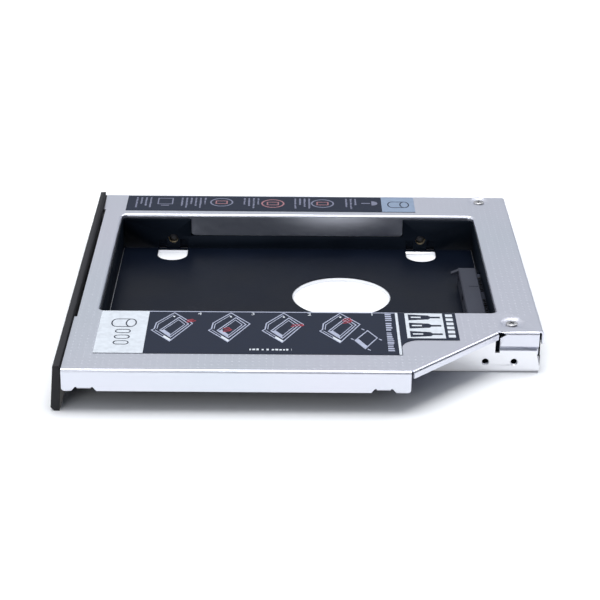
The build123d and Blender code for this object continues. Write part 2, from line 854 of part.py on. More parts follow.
def driver_cross(x, y, high):
    """Cross recess for a screwdriver, cut down from a level."""
    depth = (high - driver_depth, high)
    half = driver_slot / 2
    cross = block((x - driver_reach, x + driver_reach), (y - half, y + half), depth)
    return cross + block((x - half, x + half), (y - driver_reach, y + driver_reach), depth)


def make_cover_screws():
    seat = deck_height - dish_depth
    screws = []
    for x, y in dish_places:
        head = post(x, y, cover_screw_head_radius, seat, seat + cover_screw_head)
        rim = head.edges().filter_by(GeomType.CIRCLE).sort_by(Axis.Z)[-1]
        head = chamfer(rim, cover_screw_head / 2)
        shank = post(x, y, screw_radius, dish_underside - cover_screw_length + screw_hole_gap, seat)
        screws.append(head + shank - driver_cross(x, y, seat + cover_screw_head))
    return screws


def make_base_screws():
    screws = []
    for x, y in base_screw_places:
        high = base_screw_head
        head = Pos(x, y, (base_screw_sink + high) / 2) * Cone(base_screw_head_radius - base_screw_sink,
                                                             screw_radius, high - base_screw_sink)
        shank = post(x, y, screw_radius, high, shell_sheet + base_screw_length - screw_hole_gap)
        screws.append(head + shank - driver_cross(x, y, base_screw_sink + driver_depth))
    return screws


def make_side_inserts():
    inserts = []
    near = bay_far + insert_lip
    far = bay_far + bay_far_wall
    for x in side_hole_places:
        bush = rod(x, side_hole_height, insert_radius, near, far)
        bush += rod(x, side_hole_height, insert_flange_radius, far, far + insert_flange)
        bore = side_screw_radius + screw_hole_gap
        bush -= rod(x, side_hole_height, bore, near - overrun, far + insert_flange + overrun)
        inserts.append(bush)
    return inserts


def make_side_screws():
    screws = []
    for x in side_hole_places:
        tip = bay_far - pad_relief + side_screw_tip_inset
        seat = bay_far + bay_far_wall + insert_flange
        head_end = seat + side_screw_head
        screw = rod(x, side_hole_height, side_screw_radius, tip, seat)
        head = rod(x, side_hole_height, side_screw_head_radius, seat, head_end)
        rim = head.edges().filter_by(GeomType.CIRCLE).sort_by(Axis.Y)[-1]
        screw += chamfer(rim, side_screw_head / 4)
        recess = driver_depth * 2
        for wide, tall in ((driver_reach, driver_slot), (driver_slot, driver_reach)):
            screw -= block((x - wide, x + wide), (head_end - recess, head_end),
                           (side_hole_height - tall, side_hole_height + tall))
        screws.append(screw)
    return screws


def make_interface_board():
    board = block((board_front, board_rear), (board_near, board_far), (board_underside, board_top))
    corners = board.edges().filter_by(Axis.Z)
    board = fillet(corners, moulding_corner)
    for y in board_screw_places:
        board -= post(board_screw_x, y, screw_radius + board_hole_gap, 0, deck_height)
    return board


def make_board_screws():
    screws = []
    for y in board_screw_places:
        head = post(board_screw_x, y, board_screw_head_radius, board_top, board_top + board_screw_head)
        rim = head.edges().filter_by(GeomType.CIRCLE).sort_by(Axis.Z)[-1]
        head = chamfer(rim, board_screw_head / 3)
        shank = post(board_screw_x, y, screw_radius, board_top - board_screw_length, board_top)
        screws.append(head + shank - driver_cross(board_screw_x, y, board_top + board_screw_head))
    return screws


def pin_row(first, count, pitch):
    return [first + pitch * step for step in range(count)]


def socket_rows():
    """Places along Y of the power and signal contacts of the drive socket."""
    power = pin_row(socket_near + socket_first_pin, power_pin_count, pin_pitch)
    signal = pin_row(power[-1] + segment_spacing, signal_pin_count, pin_pitch)
    return power, signal


def host_rows():
    """Places along Y of the power and signal contacts of the host plug."""
    power = pin_row(host_near + host_first_pin, host_power_pin_count, host_power_pitch)
    signal = pin_row(power[-1] + host_segment_spacing, signal_pin_count, pin_pitch)
    return power, signal


def socket_slot(row):
    """The slot of one segment, with its key leg at the far end."""
    near = row[0] - slot_margin
    far = row[-1] + slot_margin
    mouth = (socket_front, socket_front + slot_depth)
    slot = block(mouth, (near, far), (board_top, board_top + slot_height))
    key = block(mouth, (far - slot_key, far), (board_top - slot_key, board_top))
    return slot + key


def make_drive_connector():
    body = block((socket_front, board_front), (socket_near, socket_far), (socket_low, socket_high))
    top_edges = body.edges().filter_by(Axis.Y).group_by(Axis.Z)[-1]
    body = chamfer(top_edges, socket_edge)
    end_width, end_drop = socket_end_step
    for near in (socket_near, socket_far - end_width):
        step_x = (socket_front, board_front)
        body -= block(step_x, (near, near + end_width), (socket_high - end_drop, socket_high))
    tip = socket_front - guide_reach
    for near in (socket_near, socket_far - guide_width):
        body += run_along([
            (socket_front, guide_low),
            (socket_front, socket_high - end_drop - socket_edge),
            (tip, guide_tip[1]),
            (tip, guide_tip[0]),
        ], near, near + guide_width)
    power, signal = socket_rows()
    for row in (power, signal):
        body -= socket_slot(row)
        for y in row:
            body -= contact_passage(y, socket_front + slot_depth, board_front)
    split = (power[-1] + signal[0]) / 2
    seam_x = (board_front - seam_length, board_front)
    seam_y = (split - seam_width / 2, split + seam_width / 2)
    body -= block(seam_x, seam_y, (socket_high - seam_depth, socket_high))
    return body


def contact_passage(y, front, rear):
    """The hole in a housing wall that one contact passes through."""
    half = contact_width / 2
    return block((front, rear), (y - half, y + half), (board_top, board_top + contact_sheet))


def spring_contact(y):
    """A contact of the drive socket: a sprung tip, a flat run and a tail on the board."""
    tip = socket_front + spring_run
    crest = tip + spring_run / 2
    rest = crest + spring_run
    low = board_top
    points = [
        (tip, low + spring_rise - contact_sheet),
        (crest, low + spring_rise),
        (rest, low),
        (board_front + tail_length, low),
        (board_front + tail_length, low + contact_sheet),
        (rest, low + contact_sheet),
        (crest, low + spring_rise + contact_sheet),
        (tip, low + spring_rise),
    ]
    return run_along(points, y - contact_width / 2, y + contact_width / 2)


def make_drive_contacts():
    power, signal = socket_rows()
    return [spring_contact(y) for y in power], [spring_contact(y) for y in signal]


def make_host_connector():
    body = block((board_rear, host_rear), (host_near, host_far), (host_low, host_high))
    top_edges = body.edges().filter_by(Axis.X).group_by(Axis.Z)[-1]
    body = chamfer(top_edges, socket_edge)
    mouth_x = (board_rear + host_wall, host_rear)
    mouth_y = (host_near + host_wall * 2, host_far - host_wall * 2)
    body -= block(mouth_x, mouth_y, (host_low + host_wall / 2, host_high - host_wall))
    for row in host_rows():
        near = row[0] - tongue_margin
        far = row[-1] + tongue_margin
        tongue_x = (board_rear + host_wall, host_rear - host_wall / 2)
        body += block(tongue_x, (near, far), (board_top - tongue_thickness, board_top))
        key_y = (far - tongue_thickness / 2, far)
        body += block(tongue_x, key_y, (board_top, board_top + tongue_thickness))
        for y in row:
            body -= contact_passage(y, board_rear, board_rear + host_wall)
    return body


def make_host_contacts():
    rows = []
    for row in host_rows():
        contacts = []
        for y in row:
            half = contact_width / 2
            rear = host_rear - host_wall
            contacts.append(block((board_rear - tail_length, rear), (y - half, y + half),
                                  (board_top, board_top + contact_sheet)))
        rows.append(contacts)
    return rows


def holding_peg(x, y, way):
    """A folded metal tab that holds a connector to the board."""
    run = sorted((x, x + way * peg_length))
    side = (y - peg_width / 2, y + peg_width / 2)
    foot = block(run, side, (board_top, board_top + peg_sheet))
    stand_x = sorted((x, x + way * peg_sheet))
    return foot + block(stand_x, side, (board_top, board_top + peg_sheet + peg_rise))


def make_connector_pegs():
    inset = peg_width
    drive = [holding_peg(board_front, y, 1) for y in (socket_near + inset, socket_far - inset * 2)]
    host = [holding_peg(board_rear, y, -1) for y in (host_near + inset * 4, host_far - inset)]
    return drive, host


def chip_part(x, y, length, width, height):
    """A small two-ended part lying on the board, its ends slightly proud."""
    half = length / 2
    body = block((x - half, x + half), (y - width / 2, y + width / 2), (board_top, board_top + height))
    inner = (x - half + chip_end, x + half - chip_end)
    body -= block(inner, (y - width, y - width / 2 + chip_waist), (0, deck_height))
    body -= block(inner, (y + width / 2 - chip_waist, y + width), (0, deck_height))
    body -= block(inner, (y - width, y + width), (board_top + height - chip_waist, deck_height))
    return body


def make_board_parts():
    capacitors = [chip_part(chip_x, y, capacitor_length, capacitor_width, capacitor_height)
                  for y in capacitor_places]
    resistors = [chip_part(chip_x, y, resistor_length, resistor_width, resistor_height)
                 for y in resistor_places]
    return capacitors, resistors


def make_near_label():
    left, right = near_label_x
    near, far = near_label_y
    points = [
        (left, near),
        (right, near),
        (right, near_label_block_y),
        (near_label_block_x, near_label_block_y),
        (near_label_block_x, far),
        (left, far),
    ]
    label = plate(points, deck_height, deck_height + sticker)
    inner = label.edges().filter_by(Axis.Z).sort_by(
        lambda e: (e.center().X - right) ** 2 + (e.center().Y - near_label_block_y) ** 2)[0]
    return fillet(inner, near_label_fillet)


def make_far_label():
    return block(far_label_x, far_label_y, (deck_height, deck_height + sticker))


def write(name, solids):
    """Move a piece into the row frame and write it, several solids as one group."""
    home = Pos(-(module_length - bezel_reach) / 2, -module_width / 2, 0)
    if isinstance(solids, list):
        piece = Compound(children=[home * solid for solid in solids])
    else:
        piece = home * solids
    export_step(piece, f"parts/{name}.step")


def main():
    os.makedirs("parts", exist_ok=True)
    drive_power, drive_signal = make_drive_contacts()
    host_power, host_signal = make_host_contacts()
    drive_pegs, host_pegs = make_connector_pegs()
    capacitors, resistors = make_board_parts()
    pieces = {
        "top_cover": make_top_cover(),
        "bottom_shell": make_bottom_shell(),
        "drive_frame": make_drive_frame(),
        "insulating_film": make_insulating_film(),
        "front_bezel": make_front_bezel(),
        "cover_screws": make_cover_screws(),
        "base_screws": make_base_screws(),
        "side_inserts": make_side_inserts(),
        "side_screws": make_side_screws(),
        "interface_board": make_interface_board(),
        "board_screws": make_board_screws(),
        "drive_connector": make_drive_connector(),
        "drive_power_contacts": drive_power,
        "drive_signal_contacts": drive_signal,
        "drive_connector_pegs": drive_pegs,
        "host_connector": make_host_connector(),
        "host_power_contacts": host_power,
        "host_signal_contacts": host_signal,
        "host_connector_pegs": host_pegs,
        "board_capacitors": capacitors,
        "board_resistors": resistors,
        "near_label": make_near_label(),
        "far_label": make_far_label(),
    }
    for name, solids in pieces.items():
        write(name, solids)


main()
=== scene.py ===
import math
import random

import bmesh
import bpy
from mathutils import Matrix, Vector


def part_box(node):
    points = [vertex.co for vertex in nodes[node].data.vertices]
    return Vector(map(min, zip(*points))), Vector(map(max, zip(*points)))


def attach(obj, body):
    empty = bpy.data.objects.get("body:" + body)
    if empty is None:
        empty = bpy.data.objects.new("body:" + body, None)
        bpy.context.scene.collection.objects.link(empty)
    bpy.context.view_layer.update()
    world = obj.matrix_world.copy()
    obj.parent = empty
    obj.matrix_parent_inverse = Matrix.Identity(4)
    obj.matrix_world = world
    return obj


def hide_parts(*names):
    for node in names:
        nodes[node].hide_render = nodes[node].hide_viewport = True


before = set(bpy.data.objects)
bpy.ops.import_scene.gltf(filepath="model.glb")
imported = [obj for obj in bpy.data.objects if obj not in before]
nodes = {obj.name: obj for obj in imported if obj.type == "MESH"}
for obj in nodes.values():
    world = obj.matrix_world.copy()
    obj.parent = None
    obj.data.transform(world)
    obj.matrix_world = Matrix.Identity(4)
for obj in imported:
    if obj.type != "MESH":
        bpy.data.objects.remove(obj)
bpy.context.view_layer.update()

mm = 0.001
fullTurn = 2 * math.pi
halfTurn = math.pi
quarterTurn = math.pi / 2
scene = bpy.context.scene
scene.view_settings.view_transform = "Standard"

# Sizes and places are in millimetres, with x from the front edge of the cover, y from
# the outer face of the wing and z from the underside of the shell
coverLow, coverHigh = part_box("top_cover")
deck = coverHigh.z / mm
moduleLength = (coverHigh.x - coverLow.x) / mm
moduleWidth = (coverHigh.y - coverLow.y) / mm


def at(x, y, z=0.0):
    return Vector((coverLow.x + x * mm, coverLow.y + y * mm, z * mm))


def placeOf(node):
    low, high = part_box(node)
    return (low - at(0, 0)) / mm, (high - at(0, 0)) / mm


# Camera

cameraSet = {
    "focalPixels": 1825.52,
    "imagePixels": 600.0,
    "sensorWidth": 36.0,                        # millimetres
    "clip": (0.01, 20.0),                       # metres
    "place": (58.04, -417.31, 214.18),          # millimetres
    "turn": 0.0063,                             # radians, as the next two
    "tilt": 0.4123,
    "roll": 0.0099,
}


def makeCamera():
    data = bpy.data.cameras.new("camera")
    camera = bpy.data.objects.new("camera", data)
    scene.collection.objects.link(camera)
    data.sensor_width = cameraSet["sensorWidth"]
    data.lens = data.sensor_width * cameraSet["focalPixels"] / cameraSet["imagePixels"]
    data.clip_start, data.clip_end = cameraSet["clip"]
    turn = Matrix.Rotation(-cameraSet["turn"], 4, "Z")
    tilt = Matrix.Rotation(quarterTurn - cameraSet["tilt"], 4, "X")
    roll = Matrix.Rotation(cameraSet["roll"], 4, "Z")
    camera.matrix_world = Matrix.Translation(at(*cameraSet["place"])) @ turn @ tilt @ roll
    scene.camera = camera
    print("camera placed")


makeCamera()


# Materials, with the depth of each grain in millimetres

noiseRange = (0.3, 0.7)     # a noise texture seldom leaves this range
tintRange = (0.35, 0.65)


def addNode(owner, kind, **values):
    node = owner.node_tree.nodes.new(kind)
    for key, value in values.items():
        if key in node.inputs:
            node.inputs[key].default_value = value
        else:
            setattr(node, key, value)
    return node


def join(owner, source, target):
    owner.node_tree.links.new(source, target)


def startMaterial(name, base, metallic, rough, gloss=0.5):
    material = bpy.data.materials.new(name)
    material.use_nodes = True
    shader = material.node_tree.nodes["Principled BSDF"]
    shader.inputs["Base Color"].default_value = (*base, 1)
    shader.inputs["Metallic"].default_value = metallic
    shader.inputs["Roughness"].default_value = rough
    shader.inputs["Specular IOR Level"].default_value = gloss
    return material, shader


def objectPattern(material, kind, stretch=(1, 1, 1), **values):
    coords = addNode(material, "ShaderNodeTexCoord")
    mapping = addNode(material, "ShaderNodeMapping", Scale=stretch)
    join(material, coords.outputs["Object"], mapping.inputs["Vector"])
    pattern = addNode(material, kind, **values)
    join(material, mapping.outputs["Vector"], pattern.inputs["Vector"])
    return pattern


def rescale(material, source, fromRange, toRange=(0.0, 1.0)):
    span = addNode(material, "ShaderNodeMapRange")
    ends = ("From Min", "From Max", "To Min", "To Max")
    for end, value in zip(ends, (*fromRange, *toRange)):
        span.inputs[end].default_value = value
    join(material, source, span.inputs["Value"])
    return span.outputs["Result"]


def varyTint(material, shader, source, first, second):
    ramp = addNode(material, "ShaderNodeValToRGB")
    for stop, place, colour in zip(ramp.color_ramp.elements, tintRange, (first, second)):
        stop.position = place
        stop.color = (*colour, 1)
    join(material, source, ramp.inputs["Fac"])
    join(material, ramp.outputs["Color"], shader.inputs["Base Color"])


def varyRoughness(material, shader, source, rough, less, more):
    wanted = rescale(material, source, noiseRange, (rough - less, rough + more))
    join(material, wanted, shader.inputs["Roughness"])


def addBump(material, shader, source, strength, depth):
    bump = addNode(material, "ShaderNodeBump", Strength=strength, Distance=depth * mm)
    join(material, source, bump.inputs["Height"])
    join(material, bump.outputs["Normal"], shader.inputs["Normal"])


def shaded(colour, share):
    return tuple(value * share for value in colour)


def rolledSheet(name, first, second, rough):
    material, shader = startMaterial(name, first, 1.0, rough)
    tint = objectPattern(material, "ShaderNodeTexNoise", Scale=14.0, Detail=2.0)
    grain = objectPattern(material, "ShaderNodeTexNoise", stretch=(1, 9, 9), Scale=420.0, Detail=3.0)
    varyTint(material, shader, tint.outputs["Fac"], first, second)
    varyRoughness(material, shader, grain.outputs["Fac"], rough, less=0.05, more=0.06)
    addBump(material, shader, grain.outputs["Fac"], strength=0.12, depth=0.02)
    return material


def mouldedPlastic(name, colour, rough, gloss, grainScale, grainDepth):
    material, shader = startMaterial(name, colour, 0.0, rough, gloss)
    cloud = objectPattern(material, "ShaderNodeTexNoise", Scale=60.0, Detail=3.0)
    grain = objectPattern(material, "ShaderNodeTexVoronoi", Scale=grainScale)
    varyTint(material, shader, cloud.outputs["Fac"], colour, shaded(colour, 1.35))
    varyRoughness(material, shader, cloud.outputs["Fac"], rough, less=0.04, more=0.05)
    addBump(material, shader, grain.outputs["Distance"], strength=0.35, depth=grainDepth)
    return material


def platedMetal(name, colour, rough):
    material, shader = startMaterial(name, colour, 1.0, rough)
    cloud = objectPattern(material, "ShaderNodeTexNoise", Scale=900.0, Detail=4.0)
    varyTint(material, shader, cloud.outputs["Fac"], shaded(colour, 0.82), colour)
    varyRoughness(material, shader, cloud.outputs["Fac"], rough, less=0.06, more=0.08)
    addBump(material, shader, cloud.outputs["Fac"], strength=0.1, depth=0.01)
    return material


def printedFilm(name, colour, rough, gloss=0.5):
    material, shader = startMaterial(name, colour, 0.0, rough, gloss)
    fibre = objectPattern(material, "ShaderNodeTexNoise", Scale=700.0, Detail=2.0)
    varyTint(material, shader, fibre.outputs["Fac"], colour, shaded(colour, 1.12))
    varyRoughness(material, shader, fibre.outputs["Fac"], rough, less=0.03, more=0.05)
    addBump(material, shader, fibre.outputs["Fac"], strength=0.06, depth=0.01)
    return material


def splitMetal(name, front, rear, edge, rough, blend=0.1):
    material, shader = startMaterial(name, front, 1.0, rough)
    coords = addNode(material, "ShaderNodeTexCoord")
    split = addNode(material, "ShaderNodeSeparateXYZ")
    join(material, coords.outputs["Object"], split.inputs["Vector"])
    side = rescale(material, split.outputs["X"], (edge - blend * mm, edge + blend * mm))
    cloud = objectPattern(material, "ShaderNodeTexNoise", Scale=900.0, Detail=3.0)
    varyTint(material, shader, side, front, rear)
    varyRoughness(material, shader, cloud.outputs["Fac"], rough, less=0.05, more=0.08)
    return material


coverSheet = rolledSheet("satin cover sheet", (0.71, 0.75, 0.82), (0.75, 0.76, 0.84), rough=0.33)
shellSheet = rolledSheet("shell sheet", (0.90, 0.915, 0.95), (0.86, 0.87, 0.91), rough=0.35)
frameMoulding = mouldedPlastic("black frame moulding", (0.006, 0.009, 0.015), rough=0.46, gloss=0.04,
                               grainScale=5200.0, grainDepth=0.02)
bezelMoulding = mouldedPlastic("black bezel moulding", (0.014, 0.014, 0.017), rough=0.5, gloss=0.3,
                               grainScale=4200.0, grainDepth=0.04)
bayFilm = mouldedPlastic("blue black film", (0.003, 0.005, 0.011), rough=0.34, gloss=0.08,
                         grainScale=900.0, grainDepth=0.01)
socketMoulding = mouldedPlastic("connector moulding", (0.024, 0.027, 0.040), rough=0.5, gloss=0.25,
                                grainScale=6000.0, grainDepth=0.01)
solderMask = mouldedPlastic("slate solder mask", (0.035, 0.042, 0.062), rough=0.34, gloss=0.3,
                            grainScale=1500.0, grainDepth=0.01)
nickel = platedMetal("nickel plate", (0.60, 0.60, 0.61), rough=0.3)
brass = platedMetal("turned brass", (1.0, 0.88, 0.66), rough=0.52)
gold = platedMetal("gold flash", (0.90, 0.66, 0.30), rough=0.22)
tinned = platedMetal("tinned tab", (0.70, 0.70, 0.70), rough=0.3)
dullTin = platedMetal("dull tin", (0.10, 0.10, 0.11), rough=0.5)
blackOxide = platedMetal("black oxide", (0.06, 0.06, 0.065), rough=0.36)
# Darker grey for the cross recess in each screw head: painted shade in the recess
recessShade = platedMetal("screw recess painted shade", (0.16, 0.16, 0.17), rough=0.5)
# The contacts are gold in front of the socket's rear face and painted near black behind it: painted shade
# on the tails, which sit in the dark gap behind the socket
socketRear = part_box("drive_connector")[1].x
socketContact = splitMetal("gold with tails painted dark as shade", (0.90, 0.66, 0.30), (0.02, 0.018, 0.018),
                           edge=socketRear, rough=0.3)
ceramic = printedFilm("tan ceramic", (0.42, 0.28, 0.16), rough=0.4)
resistorGlaze = printedFilm("black glaze", (0.02, 0.02, 0.02), rough=0.3)
slateInk = printedFilm("slate ink", (0.019, 0.024, 0.040), rough=0.45, gloss=0.06)
whiteInk = printedFilm("white ink", (0.57, 0.61, 0.66), rough=0.55, gloss=0.06)
redInk = printedFilm("red ink", (0.30, 0.05, 0.07), rough=0.5, gloss=0.1)
lineInk = printedFilm("grey line ink", (0.36, 0.39, 0.50), rough=0.5, gloss=0.1)
paleInk = printedFilm("pale print ink", (0.17, 0.18, 0.25), rough=0.5, gloss=0.1)
blueInk = printedFilm("pale blue ink", (0.22, 0.28, 0.38), rough=0.45, gloss=0.1)
roseInk = printedFilm("rose ink", (0.30, 0.15, 0.17), rough=0.5, gloss=0.1)

nodeMaterials = {
    "top_cover": coverSheet,
    "bottom_shell": shellSheet,
    "drive_frame": frameMoulding,
    "insulating_film": bayFilm,
    "front_bezel": bezelMoulding,
    "cover_screws": nickel,
    "base_screws": nickel,
    "side_inserts": brass,
    "side_screws": blackOxide,
    "interface_board": solderMask,
    "board_screws": blackOxide,
    "drive_connector": socketMoulding,
    "drive_power_contacts": socketContact,
    "drive_signal_contacts": socketContact,
    "drive_connector_pegs": dullTin,
    "host_connector": socketMoulding,
    "host_power_contacts": gold,
    "host_signal_contacts": gold,
    "host_connector_pegs": tinned,
    "board_capacitors": ceramic,
    "board_resistors": resistorGlaze,
    "near_label": slateInk,
    "far_label": slateInk,
}
for name, material in nodeMaterials.items():
    nodes[name].data.materials.clear()
    nodes[name].data.materials.append(material)
print("materials assigned")


# Sheets and mouldings, merged and shaded smooth

smoothSet = {
    "mergeGap": 0.002,
    "sharpAngle": 32.0,
    "weight": 100,
}


def toMesh(bm, name):
    mesh = bpy.data.meshes.new(name)
    bm.to_mesh(mesh)
    bm.free()
    return mesh


def finishPiece(name, bm, materials, sharpAngle=None):
    mesh = toMesh(bm, name)
    piece = bpy.data.objects.new(name, mesh)
    scene.collection.objects.link(piece)
    for material in materials:
        mesh.materials.append(material)
    if sharpAngle is not None:
        mesh.shade_smooth()
        mesh.set_sharp_from_angle(angle=math.radians(sharpAngle))
    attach(piece, "root")
    return piece


def smoothCopy(node):
    bm = bmesh.new()
    bm.from_mesh(nodes[node].data)
    bmesh.ops.remove_doubles(bm, verts=bm.verts, dist=smoothSet["mergeGap"] * mm)
    materials = list(nodes[node].data.materials)
    piece = finishPiece(node + "Smooth", bm, materials, smoothSet["sharpAngle"])
    weighted = piece.modifiers.new("weighted normals", "WEIGHTED_NORMAL")
    weighted.mode = "FACE_AREA"
    weighted.weight = smoothSet["weight"]
    weighted.keep_sharp = True
    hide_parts(node)


smoothCopy("top_cover")
smoothCopy("bottom_shell")
smoothCopy("front_bezel")
smoothCopy("drive_frame")
print("sheets smoothed")


# Domes pressed up all over the deck

domeSet = {
    "pitch": (1.75, 1.92),
    "radius": 0.38,
    "crown": 0.14,
    "rise": 0.055,
    "sides": 10,
    "sharpAngle": 60.0,
    "first": (1.5, 1.9),
    "edge": 1.5,
    "labelGap": 0.3,
    "dishGap": 4.5,
    "dishes": ((8.0, 31.3), (8.4, 124.2)),      # from the rear edge and from the wing
    "opening": (5.0, 36.7, 115.8, 111.6),       # left, near, right and far edges
    "wingLength": 89.6,                         # the wing's rear corner is cut back from here
}


def onDeck(x, y, keepOut):
    edge = domeSet["edge"]
    beyond = x - domeSet["wingLength"]
    if beyond > -edge and y - beyond < edge * math.sqrt(2):
        return False
    for left, near, right, far in keepOut:
        if left < x < right and near < y < far:
            return False
    for inset, place in domeSet["dishes"]:
        if math.hypot(x - (moduleLength - inset), y - place) < domeSet["dishGap"]:
            return False
    return True


def domeMesh():
    bm = bmesh.new()
    rise = domeSet["rise"] * mm
    lift = Matrix.Translation((0, 0, rise / 2))
    bmesh.ops.create_cone(bm, segments=domeSet["sides"], cap_ends=True, cap_tris=False, depth=rise,
                          radius1=domeSet["radius"] * mm, radius2=domeSet["crown"] * mm, matrix=lift)
    under = [face for face in bm.faces if face.normal.z < -0.9]      # the base, shut by the deck
    bmesh.ops.delete(bm, geom=under, context="FACES_ONLY")
    return toMesh(bm, "dome")


def makeDomes():
    gap = domeSet["labelGap"]
    keepOut = [domeSet["opening"]]
    for label in ("near_label", "far_label"):
        low, high = placeOf(label)
        keepOut.append((low.x - gap, low.y - gap, high.x + gap, high.y + gap))
    dome = domeMesh()
    bm = bmesh.new()
    along, across = domeSet["pitch"]
    columns = int((moduleLength - 2 * domeSet["edge"]) / along) + 1
    rows = int((moduleWidth - 2 * domeSet["edge"]) / across) + 1
    last = Vector()
    for column in range(columns):
        for row in range(rows):
            x = domeSet["first"][0] + column * along
            y = domeSet["first"][1] + row * across
            if onDeck(x, y, keepOut):
                home = at(x, y, deck)
                dome.transform(Matrix.Translation(home - last))
                bm.from_mesh(dome)
                last = home
    print("domes", len(bm.faces) // len(dome.polygons))
    bpy.data.meshes.remove(dome)
    finishPiece("deckDomes", bm, [coverSheet], domeSet["sharpAngle"])


makeDomes()


# Screws and inserts: a profile of radii and levels is spun round the upright axis,
# with threads as rings and a cross in each head

threadSet = {
    "steps": 28,
    "pitch": 0.4,
    "depth": 0.11,
    "tipShare": 0.62,
    "tipLead": 0.4,
    "sharpAngle": 38.0,
}
crossSet = {
    "reach": 0.92,
    "half": 0.2,
    "depth": 0.34,
    "taper": 0.62,
}


def joinLine(bm, verts, closed=False):
    after = verts[1:] + verts[:1] if closed else verts[1:]
    return [bm.edges.new(pair) for pair in zip(verts, after)]


def spinProfile(profile, steps, closed=False):
    bm = bmesh.new()
    verts = [bm.verts.new((radius * mm, 0, level * mm)) for radius, level in profile]
    edges = joinLine(bm, verts, closed)
    bmesh.ops.spin(bm, geom=verts + edges, cent=(0, 0, 0), axis=(0, 0, 1), angle=fullTurn,
                   steps=steps, use_merge=True)
    return bm


def threadProfile(radius, low, high):
    pitch = threadSet["pitch"]
    root = radius - threadSet["depth"]
    profile = [(radius * threadSet["tipShare"], low), (root, low + pitch * threadSet["tipLead"])]
    for turn in range(1, int((high - low) / pitch)):
        level = low + turn * pitch
        profile += [(radius, level), (root, level + pitch / 2)]
    return profile + [(radius, high)]


def crossEdges(bm, scale, level):
    half = crossSet["half"] * scale * mm
    reach = crossSet["reach"] * scale * mm
    arm = ((half, half), (reach, half), (reach, -half))
    verts = []
    for quarter in range(4):
        turn = Matrix.Rotation(-quarter * quarterTurn, 4, "Z")
        verts += [bm.verts.new(turn @ Vector((x, y, level * mm))) for x, y in arm]
    return joinLine(bm, verts, closed=True)


def sinkCross(bm, mouth, scale):
    grown = bmesh.ops.extrude_edge_only(bm, edges=mouth)["geom"]
    foot = [item for item in grown if isinstance(item, bmesh.types.BMVert)]
    walls = [item for item in grown if isinstance(item, bmesh.types.BMFace)]
    bmesh.ops.scale(bm, verts=foot, vec=(crossSet["taper"], crossSet["taper"], 1))
    bmesh.ops.translate(bm, verts=foot, vec=(0, 0, -crossSet["depth"] * scale * mm))
    loop = [item for item in grown if isinstance(item, bmesh.types.BMEdge) and item.is_boundary]
    bottom = bmesh.ops.edgeloop_fill(bm, edges=loop)["faces"]
    # The recess walls and floor take the second material, the painted shade
    for face in walls + bottom:
        face.material_index = 1


def makeScrew(head, tip, crossScale=1.0):
    radius, seat = head[0]
    top = head[-1][1]
    bm = spinProfile(threadProfile(radius, tip, seat) + list(head[1:]), threadSet["steps"])
    middle = (tip + top) / 2 * mm
    rims = [edge for edge in bm.edges if edge.is_boundary]
    upper = [edge for edge in rims if edge.verts[0].co.z > middle]
    lower = [edge for edge in rims if edge.verts[0].co.z < middle]
    mouth = crossEdges(bm, crossScale, top)
    bmesh.ops.edgeloop_fill(bm, edges=lower)
    bmesh.ops.triangle_fill(bm, use_beauty=True, edges=upper + mouth, normal=(0, 0, 1))
    sinkCross(bm, mouth, crossScale)
    bmesh.ops.recalc_face_normals(bm, faces=bm.faces)
    return toMesh(bm, "screw")


def placeCopies(name, node, mesh, material, homes):
    bm = bmesh.new()
    for home in homes:
        mesh.transform(home)
        bm.from_mesh(mesh)
        mesh.transform(home.inverted())
    bpy.data.meshes.remove(mesh)
    piece = finishPiece(name, bm, [material, recessShade], threadSet["sharpAngle"])
    if node:
        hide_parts(node)
    print(name, "made")


def uprightAt(x, y, z, turn):
    return Matrix.Translation(at(x, y, z)) @ Matrix.Rotation(turn, 4, "Z")


def sidewaysAt(x, y, z):
    return Matrix.Translation(at(x, y, z)) @ Matrix.Rotation(-quarterTurn, 4, "X")


coverScrewSet = {
    "head": ((0.95, 0.0), (1.55, 0.0), (1.65, 0.07), (1.63, 0.28), (1.52, 0.4), (1.30, 0.45)),
    "turns": (0.5, 1.2),
}


def makeCoverScrews():
    low, high = placeOf("cover_screws")
    head = coverScrewSet["head"]
    seat = high.z - head[-1][1]
    homes = [uprightAt(moduleLength - inset, place, seat, turn)
             for (inset, place), turn in zip(domeSet["dishes"], coverScrewSet["turns"])]
    mesh = makeScrew(head, low.z - seat)
    placeCopies("coverScrewPiece", "cover_screws", mesh, nickel, homes)


baseScrewSet = {
    "head": ((0.95, -0.75), (1.66, -0.04), (1.70, 0.0), (1.35, 0.0)),
    "rim": 1.75,
    "rearShift": 13.0,          # the near rear screw sits this far in front of the other
    "turns": (0.4, 1.3, 2.2, 3.1),
}


def makeBaseScrews():
    low, high = placeOf("base_screws")
    rim = baseScrewSet["rim"]
    left, right = low.x + rim, high.x - rim
    near, far = low.y + rim, high.y - rim
    spots = ((left, near), (right - baseScrewSet["rearShift"], near), (left, far), (right, far))
    over = Matrix.Rotation(halfTurn, 4, "X")
    homes = [uprightAt(x, y, low.z, turn) @ over for (x, y), turn in zip(spots, baseScrewSet["turns"])]
    mesh = makeScrew(baseScrewSet["head"], low.z - high.z)
    placeCopies("baseScrewPiece", "base_screws", mesh, nickel, homes)


boardScrewSet = {
    "head": ((0.95, 0.0), (1.6, 0.0), (1.7, 0.1), (1.66, 0.5), (1.42, 0.74), (1.15, 0.8)),
    "rim": 1.7,
    "turns": (0.3, 1.1),
}


def makeBoardScrews():
    low, high = placeOf("board_screws")
    head = boardScrewSet["head"]
    seat = high.z - head[-1][1]
    x = (low.x + high.x) / 2
    spots = (low.y + boardScrewSet["rim"], high.y - boardScrewSet["rim"])
    homes = [uprightAt(x, y, seat, turn) for y, turn in zip(spots, boardScrewSet["turns"])]
    mesh = makeScrew(head, low.z - seat)
    placeCopies("boardScrewPiece", "board_screws", mesh, blackOxide, homes)


